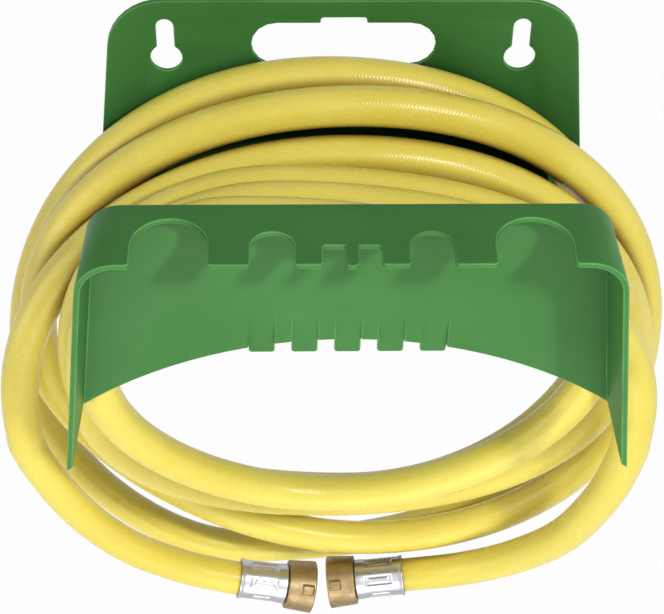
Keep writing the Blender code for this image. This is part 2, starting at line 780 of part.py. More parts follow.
def make_sleeve(name, coupling, group, tools, material):
    """Crimped sleeve over the hose's end, closed in front round the tail's neck."""
    inside = HOSE_RADIUS + CLEARANCE
    lip_front = SLEEVE_BACK - SLEEVE_LIP_LENGTH
    waist_front = lip_front - SLEEVE_WAIST_LENGTH
    profile = [
        (SLEEVE_RADIUS - SLEEVE_END_WALL / 2.0, SLEEVE_FRONT),
        (SLEEVE_RADIUS, SLEEVE_FRONT + SLEEVE_END_WALL / 2.0),
        (SLEEVE_RADIUS, waist_front),
        (SLEEVE_WAIST_RADIUS, waist_front + SLEEVE_LIP_LENGTH),
        (SLEEVE_WAIST_RADIUS, lip_front - SLEEVE_LIP_LENGTH / 2.0),
        (SLEEVE_LIP_RADIUS, lip_front + SLEEVE_LIP_LENGTH / 4.0),
        (SLEEVE_LIP_RADIUS, SLEEVE_BACK - SLEEVE_LIP_LENGTH / 4.0),
        (SLEEVE_LIP_RADIUS - SLEEVE_LIP_LENGTH / 4.0, SLEEVE_BACK),
        (inside, SLEEVE_BACK),
        (inside, SLEEVE_FRONT + SLEEVE_END_WALL),
        (TAIL_NECK_RADIUS + CLEARANCE, SLEEVE_FRONT + SLEEVE_END_WALL),
        (TAIL_NECK_RADIUS + CLEARANCE, SLEEVE_FRONT),
    ]
    sleeve = make_turned(name, profile, coupling, group, material)
    boolean(sleeve, make_recesses(name + "_recesses", coupling, tools), "DIFFERENCE")
    return sleeve


def make_hose_end(side, mouth, axis_back, route, station, group, tools, materials):
    """One end of the hose: its free stretch and the four pieces of its coupling."""
    coupling = place_coupling("coupling_" + side, mouth, axis_back, group)
    make_lead("hose_lead_" + side, coupling, route, station, group, tools, materials["hose"])
    make_ring("swivel_ring_" + side, coupling, group, tools, materials["brass"])
    make_tail("tail_" + side, coupling, group, materials["tail"])
    make_gasket("gasket_" + side, coupling, group, materials["gasket"])
    make_sleeve("sleeve_" + side, coupling, group, tools, materials["sleeve"])


def main():
    clear_scene()
    group = new_collection("wall_hose_hanger")
    tools = new_collection("cutters")
    materials = {
        "green": new_material("green_moulding", GREEN, 0.42),
        "hose": new_material("yellow_hose", HOSE_YELLOW, 0.35),
        "brass": new_material("brass_ring", BRASS, 0.40, 1.0),
        "tail": new_material("brass_tail", BRASS, 0.30, 1.0),
        "sleeve": new_material("aluminium_sleeve", ALUMINIUM, 0.32, 1.0),
        "gasket": new_material("black_gasket", GASKET_BLACK, 0.70),
    }
    make_hanger(group, tools, materials["green"])
    make_winding(group, materials["hose"])
    start, end = TURNS[0][0], TURNS[-1][-1]
    make_hose_end("left", MOUTH_LEFT, AXIS_POINT_LEFT, ROUTE_LEFT, start, group, tools, materials)
    make_hose_end("right", MOUTH_RIGHT, AXIS_POINT_RIGHT, ROUTE_RIGHT, end, group, tools, materials)


main()
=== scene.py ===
# %% [markdown]
# # A wall hanger with a wound garden hose
#
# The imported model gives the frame: where every solid is, which body it rides on and
# where the two swivels turn. This lesson dresses that frame. The camera comes first, then
# the hose, the green moulding and the two couplings, and last the floor and the lamps.

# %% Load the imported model
import math

import bmesh
import bpy
import numpy as np
from mathutils import Matrix


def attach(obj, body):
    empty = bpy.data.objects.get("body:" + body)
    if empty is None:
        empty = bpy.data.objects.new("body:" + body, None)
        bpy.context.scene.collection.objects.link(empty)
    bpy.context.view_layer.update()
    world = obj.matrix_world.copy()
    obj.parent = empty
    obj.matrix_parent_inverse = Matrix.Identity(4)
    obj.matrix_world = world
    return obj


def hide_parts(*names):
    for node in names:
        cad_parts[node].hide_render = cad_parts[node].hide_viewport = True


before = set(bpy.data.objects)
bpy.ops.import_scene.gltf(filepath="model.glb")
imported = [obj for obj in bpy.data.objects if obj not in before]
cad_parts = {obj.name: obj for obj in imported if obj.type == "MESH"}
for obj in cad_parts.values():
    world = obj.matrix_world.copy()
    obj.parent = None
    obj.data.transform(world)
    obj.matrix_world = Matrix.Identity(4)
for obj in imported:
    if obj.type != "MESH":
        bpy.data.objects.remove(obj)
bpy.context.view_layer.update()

print("solids:", ", ".join(sorted(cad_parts)))

# %% [markdown]
# ## The camera
#
# A product photograph like this one is taken from above, with a long lens. A camera can
# be aimed with a Track To constraint, but a small roll is then hard to set. Here the three
# axes of the camera are worked out from pitch, yaw and roll and written into its matrix,
# so that each angle is one number.

# %% Camera
IMAGE_WIDTH = 664
CAMERA_PLACE = np.array([-0.02467, -0.73056, 0.58258])
CAMERA_PITCH = math.radians(44.70)
CAMERA_YAW = math.radians(1.65)
CAMERA_ROLL = math.radians(-0.89)
FOCAL_PIXELS = 1830.2
SENSOR_WIDTH = 36.0


def camera_axes(pitch, yaw, roll):
    """Right, down and forward: forward dips by the pitch, then right and down turn by the roll."""
    forward = np.array([
        math.sin(yaw) * math.cos(pitch),
        math.cos(yaw) * math.cos(pitch),
        -math.sin(pitch),
    ])
    level = np.array([math.cos(yaw), -math.sin(yaw), 0.0])
    dip = np.cross(forward, level)
    right = math.cos(roll) * level + math.sin(roll) * dip
    down = -math.sin(roll) * level + math.cos(roll) * dip
    return right, down, forward


right, down, forward = camera_axes(CAMERA_PITCH, CAMERA_YAW, CAMERA_ROLL)
camera_data = bpy.data.cameras.new("camera")
camera_data.sensor_fit = "HORIZONTAL"
camera_data.sensor_width = SENSOR_WIDTH
camera_data.lens = FOCAL_PIXELS / IMAGE_WIDTH * SENSOR_WIDTH
camera_data.clip_start = 0.01
camera = bpy.data.objects.new("camera", camera_data)
turned = Matrix(np.stack([right, -down, -forward], axis=1).tolist()).to_4x4()
camera.matrix_world = Matrix.Translation(CAMERA_PLACE.tolist()) @ turned
bpy.context.scene.collection.objects.link(camera)
bpy.context.scene.camera = camera
print(f"lens {camera_data.lens:.1f} mm on a {SENSOR_WIDTH:.0f} mm sensor")

# %% [markdown]
# ## From numbers to a mesh
#
# Every new piece below is a surface over two parameters, so it comes as a grid of points:
# rows along one parameter and columns along the other. A mesh could be built face by face,
# but numpy can lay out all the corners of all the faces at once. The signed volume of the
# closed surface tells whether its faces point outwards, and if not, the rows are reversed.

# %% Grid of points to mesh
def join_grid(rows, columns, wrap_rows):
    """Corner numbers of the quads between neighbours; columns always wrap, rows where told."""
    last = rows if wrap_rows else rows - 1
    row, column = np.meshgrid(np.arange(last), np.arange(columns), indexing="ij")
    next_row, next_column = (row + 1) % rows, (column + 1) % columns
    corners = [row * columns + column, next_row * columns + column]
    corners += [next_row * columns + next_column, row * columns + next_column]
    return np.stack(corners, axis=-1).reshape(-1, 4), row.ravel(), column.ravel()


def signed_volume(points, quads):
    """Sum of the volumes of pyramids from the origin to each half of each quad."""
    a, b, c, d = (points[quads[:, k]] for k in range(4))
    return float((np.cross(a, b) * c).sum() + (np.cross(a, c) * d).sum()) / 6.0


def surface_piece(name, grid, material, wrap_rows=False, along=None):
    """Object from a closed grid; UV runs along the rows by `along`, and once round the columns."""
    if signed_volume(grid.reshape(-1, 3), join_grid(*grid.shape[:2], wrap_rows)[0]) < 0.0:
        grid = grid[::-1]
        along = None if along is None else along[::-1]
    rows, columns = grid.shape[:2]
    quads, row, column = join_grid(rows, columns, wrap_rows)
    mesh = bpy.data.meshes.new(name)
    mesh.vertices.add(rows * columns)
    mesh.vertices.foreach_set("co", grid.astype(np.float32).ravel())
    mesh.loops.add(quads.size)
    mesh.loops.foreach_set("vertex_index", quads.astype(np.int32).ravel())
    mesh.polygons.add(len(quads))
    mesh.polygons.foreach_set("loop_start", np.arange(0, quads.size, 4, dtype=np.int32))
    mesh.update(calc_edges=True)
    if along is None:
        along = np.arange(rows + 1) / rows
    ends = np.append(along, along[-1])
    u = np.stack([ends[row], ends[row + 1], ends[row + 1], ends[row]], axis=1)
    v = np.stack([column, column, column + 1, column + 1], axis=1) / columns
    layer = mesh.uv_layers.new(name="along_and_round")
    layer.data.foreach_set("uv", np.stack([u, v], axis=-1).astype(np.float32).ravel())
    merge_points(mesh)
    mesh.materials.append(material)
    piece = bpy.data.objects.new(name, mesh)
    bpy.context.scene.collection.objects.link(piece)
    print(f"{name}: {len(mesh.polygons)} faces")
    return piece


def merge_points(mesh, distance=0.000002):
    """Closes poles and seams: points closer than the distance become one."""
    work = bmesh.new()
    work.from_mesh(mesh)
    bmesh.ops.remove_doubles(work, verts=work.verts, dist=distance)
    bmesh.ops.dissolve_degenerate(work, edges=work.edges, dist=distance / 10.0)
    for face in work.faces:
        face.smooth = True
    work.to_mesh(mesh)
    work.free()


# %% [markdown]
# ## Building materials from nodes
#
# Each finish is a Principled shader with a few patterns plugged into it. A colour that is
# the same everywhere would look like painted clay, so every finish gets some wandering of
# its colour and roughness, and a bump at the scale of the real grain. Small helpers keep
# that short: one for a new finish, one for a node, one for noise, one for a remapped range.
# Where two surfaces meet, an Ambient Occlusion node tells how much of the space around a
# point is open, and a darker colour is mixed in where little is, as painted shade.

# %% Node helpers
REFRACTION = 1.46
CREVICE_SAMPLES = 12
SHUT_BELOW = 0.10
OPEN_ABOVE = 0.88


def new_finish(name, roughness, metallic=0.0):
    """Material with a Principled shader, which is returned with the node tree."""
    material = bpy.data.materials.new(name)
    material.use_nodes = True
    tree = material.node_tree
    shader = tree.nodes["Principled BSDF"]
    shader.inputs["Roughness"].default_value = roughness
    shader.inputs["Metallic"].default_value = metallic
    shader.inputs["IOR"].default_value = REFRACTION
    return material, tree, shader


def node(tree, kind, settings=None, **inputs):
    """New node, with its own settings and with sockets set by name, or linked where given one."""
    made = tree.nodes.new(kind)
    for key, value in (settings or {}).items():
        setattr(made, key, value)
    for key, value in inputs.items():
        socket = made.inputs[int(key[1:])] if key[0] == "_" else made.inputs[key.replace("_", " ")]
        if isinstance(value, bpy.types.NodeSocket):
            tree.links.new(value, socket)
        else:
            socket.default_value = value
    return made


def calculate(tree, operation, first, second=0.0):
    return node(tree, "ShaderNodeMath", {"operation": operation}, _0=first, _1=second).outputs[0]


def place_in_space(tree):
    """Object coordinates, in metres on these pieces."""
    return tree.nodes.new("ShaderNodeTexCoord").outputs["Object"]


def noise(tree, where, scale, detail=3.0, roughness=0.55):
    made = node(
        tree, "ShaderNodeTexNoise", Vector=where, Scale=scale, Detail=detail, Roughness=roughness
    )
    return made.outputs["Fac"]


def between(tree, value, low, high, from_low=0.3, from_high=0.7):
    """Remaps a pattern's middle range to run from low to high."""
    made = node(tree, "ShaderNodeMapRange", _0=value, _1=from_low, _2=from_high, _3=low, _4=high)
    return made.outputs[0]


def blend_colours(tree, share, first, second):
    made = node(tree, "ShaderNodeMix", {"data_type": "RGBA"})
    tree.links.new(share, made.inputs[0])
    made.inputs[6].default_value = (*first, 1.0)
    made.inputs[7].default_value = (*second, 1.0)
    return made.outputs[2]


def painted_shade_in_crevices(tree, colour, dark, distance):
    """Painted shade: mixes a dark colour in where other surfaces stand close."""
    settings = {"samples": CREVICE_SAMPLES}
    around = node(tree, "ShaderNodeAmbientOcclusion", settings, Distance=distance)
    open_share = between(tree, around.outputs["AO"], 0.0, 1.0, SHUT_BELOW, OPEN_ABOVE)
    made = node(tree, "ShaderNodeMix", {"data_type": "RGBA"})
    tree.links.new(open_share, made.inputs[0])
    tree.links.new(colour, made.inputs[7])
    made.inputs[6].default_value = (*dark, 1.0)
    return made.outputs[2]


def bump(tree, shader, height, depth):
    """Shades the surface as if the height pattern, times depth in metres, were on it."""
    made = node(tree, "ShaderNodeBump", Height=height, Distance=depth, Strength=1.0)
    tree.links.new(made.outputs["Normal"], shader.inputs["Normal"])


# %% [markdown]
# ## The hose: one line from end to end
#
# The hose is a half-inch garden hose, 20 mm thick outside, five and a half turns over the
# saddle, and both of its ends come down to couplings at the bottom. A hose could be drawn
# as a helix, but a real winding is uneven: each turn has its own width and droop. So each
# quarter of a turn is a cubic curve between two turning points, upright at the sides and
# level at the top and the bottom. Each inner list below is one turn: its left side, its top,
# its right side and its bottom. These are the points that the solids follow too.

# %% Turning points and couplings
HOSE_RADIUS = 0.010
BORE_RADIUS = 0.0064
QUARTER_STEPS = 40
LEAD_STEPS = 20
RING_SPACING = 0.0045
FULLNESS = [0.58, 0.60, 0.54, 0.47]

TURNS = [
    [
        (-0.173, -0.064, -0.161), (0.001, -0.050, 0.012),
        (0.159, -0.053, -0.145), (0.018, -0.040, -0.298),
    ],
    [
        (-0.163, -0.036, -0.132), (0.006, -0.037, 0.032),
        (0.166, -0.031, -0.146), (-0.055, -0.013, -0.340),
    ],
    [
        (-0.175, -0.014, -0.179), (-0.008, -0.014, 0.032),
        (0.148, -0.014, -0.133), (0.007, -0.016, -0.281),
    ],
    [
        (-0.136, -0.079, -0.102), (-0.032, -0.077, 0.016),
        (0.147, -0.074, -0.101), (-0.004, -0.048, -0.251),
    ],
    [
        (-0.130, -0.101, -0.098), (-0.034, -0.100, 0.026),
        (0.129, -0.096, -0.071), (-0.005, -0.099, -0.184),
    ],
    [
        (-0.121, -0.123, -0.063), (-0.051, -0.123, 0.037),
        (0.147, -0.117, -0.108),
    ],
]
MOUTHS = {"left": (-0.0145, -0.054, -0.3287), "right": (-0.0044, -0.054, -0.3240)}
AXIS_POINTS = {"left": (-0.0590, -0.054, -0.3191), "right": (0.0385, -0.054, -0.3175)}
ROUTES = {
    "left": [
        (-0.094, -0.055, -0.305),
        (-0.124, -0.058, -0.281),
        (-0.149, -0.060, -0.247),
        (-0.166, -0.063, -0.206),
    ],
    "right": [
        (0.075, -0.061, -0.302),
        (0.103, -0.076, -0.271),
        (0.126, -0.095, -0.226),
        (0.141, -0.110, -0.171),
    ],
}
HOSE_FACE = 0.0181
SLEEVE_FRONT = 0.0168
SLEEVE_BACK = 0.0458
SPIGOT_LENGTH = 0.022


def coupling_axes(side):
    """Mouth, and three unit vectors: across to the camera, square to that, and out of the mouth."""
    mouth = np.array(MOUTHS[side])
    out = mouth - np.array(AXIS_POINTS[side])
    out /= np.linalg.norm(out)
    across = np.array([0.0, -1.0, 1.0])
    across -= (across @ out) * out
    across /= np.linalg.norm(across)
    return mouth, across, np.cross(out, across), out


def behind_mouth(side, distance):
    mouth, _, _, out = coupling_axes(side)
    return mouth - distance * out


print("left coupling points along", np.round(coupling_axes("left")[3], 3))

# %% The centre line
def quarter_turn(start, end, upright_first, fullness):
    """Cubic curve; its inner points stand off by `fullness` of the span, one upright, one level."""
    span = end - start
    upright = fullness * span * np.array([0.0, 0.0, 1.0])
    level = fullness * span * np.array([1.0, 0.0, 0.0])
    first, last = (upright, level) if upright_first else (level, upright)
    t = np.arange(QUARTER_STEPS)[:, None] / QUARTER_STEPS
    u = 1.0 - t
    ends = u**3 * start + t**3 * end
    return ends + 3.0 * u**2 * t * (start + first) + 3.0 * u * t**2 * (end - last)


def winding_line():
    """All quarters in a row: left side, top, right side and bottom of each turn."""
    stations = [np.array(point) for turn in TURNS for point in turn]
    quarters = [
        quarter_turn(start, end, index % 2 == 0, FULLNESS[index % 4])
        for index, (start, end) in enumerate(zip(stations, stations[1:]))
    ]
    return np.vstack(quarters + [stations[-1:]])


def smooth_line(points):
    """Curve through the points; at each it runs parallel to the line between its neighbours."""
    points = np.array(points)
    p0 = np.vstack([points[:1], points[:-2]])[:, None]
    p1, p2 = points[:-1][:, None], points[1:][:, None]
    p3 = np.vstack([points[2:], points[-1:]])[:, None]
    t = (np.arange(LEAD_STEPS) / LEAD_STEPS)[None, :, None]
    bend = 2.0 * p0 - 5.0 * p1 + 4.0 * p2 - p3
    twist = 3.0 * (p1 - p2) + p3 - p0
    curve = p1 + 0.5 * (t * (p2 - p0) + t**2 * bend + t**3 * twist)
    return np.vstack([curve.reshape(-1, 3), points[-1:]])


def lead_line(side, station):
    """Straight out of the sleeve, then along the route to just below the winding's end."""
    start = behind_mouth(side, SLEEVE_BACK + HOSE_RADIUS / 2.0)
    end = np.array(station) - np.array([0.0, 0.0, 2.0 * HOSE_RADIUS])
    return np.vstack([behind_mouth(side, HOSE_FACE), smooth_line([start, *ROUTES[side], end])])


def even_steps(line, step):
    """The same line with points at equal distances, and the distance of each from the start."""
    lengths = np.concatenate([[0.0], np.cumsum(np.linalg.norm(np.diff(line, axis=0), axis=1))])
    at = np.linspace(0.0, lengths[-1], int(lengths[-1] / step) + 1)
    return np.stack([np.interp(at, lengths, line[:, k]) for k in range(3)], axis=1), at


rough_line = np.vstack([
    lead_line("left", TURNS[0][0]),
    winding_line(),
    lead_line("right", TURNS[-1][-1])[::-1],
])
hose_line, hose_along = even_steps(rough_line, RING_SPACING)

# %% [markdown]
# ## The hose: its skin
#
# The skin is a circle carried along the line. The circle must not spin about the line as
# it goes, or the pattern on the skin would twist. Each step turns the last cross direction
# only as far as the line itself bends. At both ends the skin turns over a rounded rim and
# folds inwards to the bore that the barbed tail sits in, so the hose is one closed surface.

# %% Tube along a line
HOSE_COLUMNS = 32
RIM_RADIUS = 0.0012
BORE_SPARE = 0.0006
SKIN_FROM = 0.003


def unit(vectors):
    return vectors / np.linalg.norm(vectors, axis=-1, keepdims=True)


def unspun_axes(line):
    """Two cross directions at each point, each the last one with its forward part taken out."""
    forward = unit(np.gradient(line, axis=0))
    across = np.empty_like(forward)
    last = np.array([0.0, -1.0, 0.0])
    for index, ahead in enumerate(forward):
        last = last - (last @ ahead) * ahead
        last /= np.linalg.norm(last)
        across[index] = last
    return across, np.cross(forward, across)


def sampled(values, along, at):
    """Values given at the distances `along`, read in between at the distances `at`."""
    return np.stack([np.interp(at, along, values[:, k]) for k in range(3)], axis=1)


def hose_grid(line, along, columns):
    """Point = middle + radius * (cos angle * side + sin angle * top); rings from bore to bore."""
    across, upward = unspun_axes(line)
    angle = 2.0 * np.pi * np.arange(columns)[None, :, None] / columns
    length = along[-1]
    quarter = np.linspace(0.0, np.pi / 2.0, 4)
    bore = np.linspace(SPIGOT_LENGTH + BORE_SPARE, 0.0, 5)
    edge = RIM_RADIUS * (1.0 - np.cos(quarter))
    rim = HOSE_RADIUS - RIM_RADIUS + RIM_RADIUS * np.sin(quarter)
    inside = along[(along > SKIN_FROM) & (along < length - SKIN_FROM)]
    head = np.concatenate([bore[:1], bore, edge])
    at = np.concatenate([head, inside, length - head[::-1]])
    head_radius = np.concatenate([[0.0], np.full(len(bore), BORE_RADIUS), rim])
    plain = np.full(len(inside), HOSE_RADIUS)
    radius = np.concatenate([head_radius, plain, head_radius[::-1]])[:, None, None]
    middle = sampled(line, along, at)[:, None]
    side = unit(sampled(across, along, at))[:, None]
    top = unit(sampled(upward, along, at))[:, None]
    return middle + radius * (np.cos(angle) * side + np.sin(angle) * top), at


# %% [markdown]
# ## The hose's finish
#
# The skin is soft yellow plastic. Through it the knitted reinforcement shows as rows of
# tiny dimples, which break the highlights into dashes. An image of a knit would do, but a
# product of two sine waves in the hose's own UV gives the same rows at the true size: about
# 1.7 mm along the hose, and eighteen round it. The UV counts circumferences along the hose,
# so both directions have one scale. A slow noise lets the knit show more in some patches
# than in others. Light enters the plastic a little, which a small subsurface share gives.

# %% Yellow hose finish
HOSE_LIGHT = (0.805, 0.685, 0.125)
HOSE_DEEP = (0.745, 0.610, 0.090)
# Painted shade: a dark brown mixed into the yellow where strands stand close, within the reach
# below.
HOSE_PAINTED_SHADE = (0.250, 0.130, 0.020)
HOSE_PAINTED_SHADE_REACH = 0.010
HOSE_ROUND = 2.0 * math.pi * HOSE_RADIUS
KNIT_ALONG = 36
KNIT_ROUND = 18
KNIT_DEPTH = 0.00005


def make_hose_finish():
    material, tree, shader = new_finish("yellow_hose", 0.34)
    space = place_in_space(tree)
    uv = node(tree, "ShaderNodeUVMap", {"uv_map": "along_and_round"}).outputs[0]
    parts = node(tree, "ShaderNodeSeparateXYZ", _0=uv)
    drift = calculate(tree, "MULTIPLY", noise(tree, space, 60.0), 1.6)
    knit_u = calculate(tree, "MULTIPLY", parts.outputs[0], 2.0 * math.pi * KNIT_ALONG)
    wave_u = calculate(tree, "SINE", calculate(tree, "ADD", knit_u, drift))
    knit_v = calculate(tree, "MULTIPLY", parts.outputs[1], 2.0 * math.pi * KNIT_ROUND)
    waves = calculate(tree, "MULTIPLY", wave_u, calculate(tree, "COSINE", knit_v))
    patches = between(tree, noise(tree, space, 75.0), 0.2, 1.0)
    waves = calculate(tree, "MULTIPLY", waves, patches)
    cloud = noise(tree, space, 14.0, 2.0)
    colour = blend_colours(tree, between(tree, cloud, 0.0, 1.0), HOSE_LIGHT, HOSE_DEEP)
    # Painted shade where the strands touch and shade each other.
    colour = painted_shade_in_crevices(tree, colour, HOSE_PAINTED_SHADE, HOSE_PAINTED_SHADE_REACH)
    tree.links.new(colour, shader.inputs["Base Color"])
    tree.links.new(between(tree, noise(tree, space, 90.0), 0.24, 0.34), shader.inputs["Roughness"])
    fine = calculate(tree, "MULTIPLY", noise(tree, space, 900.0, 2.0), 0.20)
    bump(tree, shader, calculate(tree, "ADD", waves, fine), KNIT_DEPTH)
    shader.inputs["Specular IOR Level"].default_value = 0.35
    shader.inputs["Subsurface Weight"].default_value = 0.20
    shader.inputs["Subsurface Radius"].default_value = (0.9, 0.6, 0.15)
    shader.inputs["Subsurface Scale"].default_value = 0.0025
    return material


hose_finish = make_hose_finish()
skin, skin_along = hose_grid(hose_line, hose_along, HOSE_COLUMNS)
hose = surface_piece("garden_hose", skin, hose_finish, along=skin_along / HOSE_ROUND)
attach(hose, "hanger")
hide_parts("hose_coil", "hose_lead_left", "hose_lead_right")

# %% [markdown]
# ## The green moulding
#
# The hanger is one injection moulding: back plate, saddle, ribs, flange and notched shelf.
# Its solid already has every outline, so drawing it again would gain nothing. What a solid
# from straight cuts lacks is the small radius that a mould leaves on every edge, and which
# shows as a bright line. A copy of the solid is merged, its flat faces are joined, and a
# Bevel modifier rounds its sharp edges. The rounded strips get their own lighter finish,
# a painted highlight. Before that, the corners along the flange's arched lower edge move
# up by 2.6 mm and the ends of its fingers move down by 0.8 mm, which brings both to where
# they are on the real one.

# %% Green plastic finish
GREEN_FACE = (0.059, 0.216, 0.050)
GREEN_DEEP = (0.048, 0.190, 0.038)
# Painted highlight: the rounded rims get a lighter green than the faces.
GREEN_RIM_PAINTED_HIGHLIGHT = (0.130, 0.400, 0.105)
# Painted shade on the green: a dark colour mixed in near the hose and in corners, at a wide and a
# narrow reach.
GREEN_PAINTED_SHADE = (0.020, 0.080, 0.015)
GREEN_PAINTED_SHADE_REACHES = (0.065, 0.004)
# Painted shade: the share of colour left on level faces that look up.
UPWARD_SHADE = 0.80


def painted_shade_above(tree, colour):
    """Painted shade: scales the colour down on faces that look up, as far as UPWARD_SHADE on level
    ones.
    """
    normal = tree.nodes.new("ShaderNodeTexCoord").outputs["Normal"]
    facing = node(tree, "ShaderNodeSeparateXYZ", _0=normal)
    shade = between(tree, facing.outputs[2], 1.0, UPWARD_SHADE, 0.6, 0.95)
    scaled = node(tree, "ShaderNodeVectorMath", {"operation": "SCALE"}, _0=colour, _3=shade)
    return scaled.outputs[0]


def make_green_finish(name, colour, deep, roughness):
    material, tree, shader = new_finish(name, roughness)
    space = place_in_space(tree)
    flow = noise(tree, space, 18.0, 4.0)
    mixed = blend_colours(tree, between(tree, flow, 0.0, 1.0), colour, deep)
    # Painted shade where other surfaces stand close.
    for reach in GREEN_PAINTED_SHADE_REACHES:
        mixed = painted_shade_in_crevices(tree, mixed, GREEN_PAINTED_SHADE, reach)
    # Painted shade on the faces that look up.
    tree.links.new(painted_shade_above(tree, mixed), shader.inputs["Base Color"])
    smears = noise(tree, space, 45.0, 5.0, 0.6)
    smeared = between(tree, smears, roughness - 0.05, roughness + 0.07)
    tree.links.new(smeared, shader.inputs["Roughness"])
    grain = noise(tree, space, 1400.0, 2.0)
    sink = calculate(tree, "MULTIPLY", noise(tree, space, 40.0, 1.0), 3.0)
    bump(tree, shader, calculate(tree, "ADD", grain, sink), 0.00002)
    shader.inputs["Specular IOR Level"].default_value = 0.15
    return material


green_finish = make_green_finish("green_moulding", GREEN_FACE, GREEN_DEEP, 0.42)
# The rim finish is lighter, a painted highlight on the rounded edges.
rim_painted_highlight_finish = make_green_finish("green_moulding_rim_painted_highlight", GREEN_RIM_PAINTED_HIGHLIGHT, GREEN_FACE, 0.34)

# %% Rounded copy of the solid
EDGE_ROUNDING = 0.0006
SHARP_ANGLE = math.radians(40.0)
FLAT_ANGLE = math.radians(0.6)
TONGUE_HALF_WIDTH = 0.0031
MERGE_DISTANCE = 0.00008
ARCH_CROWN = -0.0296
ARCH_RADIUS = 0.204
ARCH_LIFT = 0.0026
FINGER_STRETCH = 0.0008
FLANGE_FROM = -0.1367
FLANGE_TO = -0.1315
FLANGE_FACES = (-0.1365, -0.1338)
FLUTE_SLOPE = 0.0021 / 0.0260
ARCH_SLACK = 0.0004
FACE_SLACK = 0.0003


def cut_across(work, x):
    """Puts corners on every edge that crosses the upright plane at x."""
    everything = work.verts[:] + work.edges[:] + work.faces[:]
    place, normal = (x, 0.0, 0.0), (1.0, 0.0, 0.0)
    bmesh.ops.bisect_plane(work, geom=everything, dist=1e-7, plane_co=place, plane_no=normal)


def lift_arch(work):
    """Corners on the arch z = crown - (R - sqrt(R^2 - x^2)) rise; the fingers' ends below drop.

    A corner in a flute also slides along the flute's sloping floor.
    """
    for corner in work.verts:
        x, y, z = corner.co
        if FLANGE_FROM < y < FLANGE_TO and z < ARCH_CROWN + ARCH_SLACK:
            above = z - ARCH_CROWN + ARCH_RADIUS - math.sqrt(ARCH_RADIUS**2 - x**2)
            rise = ARCH_LIFT if above > -ARCH_SLACK else -FINGER_STRETCH
            in_flute = min(abs(y - face) for face in FLANGE_FACES) > FACE_SLACK
            corner.co.z += rise
            corner.co.y -= FLUTE_SLOPE * rise if in_flute else 0.0


def rounded_copy(source, name, finishes, width):
    """Copy of a solid with merged corners, joined flat faces and rounded edges."""
    work = bmesh.new()
    work.from_mesh(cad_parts[source].data)
    for x in (-TONGUE_HALF_WIDTH, TONGUE_HALF_WIDTH):
        cut_across(work, x)
    bmesh.ops.remove_doubles(work, verts=work.verts, dist=MERGE_DISTANCE)
    lift_arch(work)
    bmesh.ops.dissolve_limit(
        work, angle_limit=FLAT_ANGLE, verts=work.verts, edges=work.edges, delimit={"NORMAL"}
    )
    for face in work.faces:
        face.smooth = True
        face.material_index = 0
    mesh = bpy.data.meshes.new(name)
    work.to_mesh(mesh)
    work.free()
    for finish in finishes:
        mesh.materials.append(finish)
    piece = bpy.data.objects.new(name, mesh)
    bpy.context.scene.collection.objects.link(piece)
    rounding = piece.modifiers.new("rounded edges", "BEVEL")
    rounding.width = width
    rounding.segments = 3
    rounding.limit_method = "ANGLE"
    rounding.angle_limit = SHARP_ANGLE
    rounding.use_clamp_overlap = False
    rounding.harden_normals = True
    # The rounded strips take the second finish, the lighter rim green with its painted highlight.
    rounding.material = 1
    print(f"{name}: {len(mesh.polygons)} faces before rounding")
    return piece


hanger_finishes = [green_finish, rim_painted_highlight_finish]
hanger = rounded_copy("wall_hanger", "hanger_moulding", hanger_finishes, EDGE_ROUNDING)
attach(hanger, "hanger")
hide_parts("wall_hanger")

# %% [markdown]
# ## Turned pieces
#
# A coupling is turned on a lathe, so a profile of radius against distance behind the mouth
# describes it, and the profile is carried round the axis. Blender's Screw modifier does
# that too, but here the radius may also change with the angle: that is how the grip lugs,
# the crimped windows and the thread come out of one formula.

# %% Profile carried round an axis
def rounded_profile(corners, radius, steps=4):
    """Each corner becomes u^2 * start + 2ut * corner + t^2 * end, with u = 1 - t, on its sides."""
    corners = np.array(corners)
    before, after = np.roll(corners, 1, axis=0), np.roll(corners, -1, axis=0)
    reach_in = np.minimum(radius, 0.45 * np.linalg.norm(before - corners, axis=1))[:, None]
    reach_out = np.minimum(radius, 0.45 * np.linalg.norm(after - corners, axis=1))[:, None]
    start = (corners + reach_in * unit(before - corners))[:, None]
    end = (corners + reach_out * unit(after - corners))[:, None]
    t = np.linspace(0.0, 1.0, steps + 1)[None, :, None]
    u = 1.0 - t
    curve = u**2 * start + 2.0 * t * u * corners[:, None] + t**2 * end
    return curve.reshape(-1, 2)


def finer(profile, step):
    """The same closed profile with extra points, none further apart than the step."""
    closed = np.vstack([profile, profile[:1]])
    pieces = []
    for start, end in zip(closed, closed[1:]):
        count = max(1, int(np.ceil(np.linalg.norm(end - start) / step)))
        t = np.arange(count)[:, None] / count
        pieces.append(start * (1.0 - t) + end * t)
    return np.vstack(pieces)


def smooth_step(value, low, high):
    t = np.clip((value - low) / (high - low), 0.0, 1.0)
    return t * t * (3.0 - 2.0 * t)


def plateau(value, half, soft):
    """1 inside the half width, 0 outside, with a soft flank."""
    return 1.0 - smooth_step(np.abs(value), half - soft / 2.0, half + soft / 2.0)


def turned_piece(name, side, profile, columns, material, change=None):
    """Point = mouth - distance * out + radius * (cos angle * across + sin angle * square)."""
    mouth, across, square, out = coupling_axes(side)
    angle = 2.0 * np.pi * np.arange(columns) / columns
    radius = np.repeat(profile[:, :1], columns, axis=1)
    distance = np.repeat(profile[:, 1:], columns, axis=1)
    if change is not None:
        radius = radius + change(radius, distance, np.broadcast_to(angle, radius.shape))
    ring = np.cos(angle)[:, None] * across + np.sin(angle)[:, None] * square
    grid = mouth - distance[..., None] * out + radius[..., None] * ring[None]
    return surface_piece(name, grid, material, wrap_rows=True)


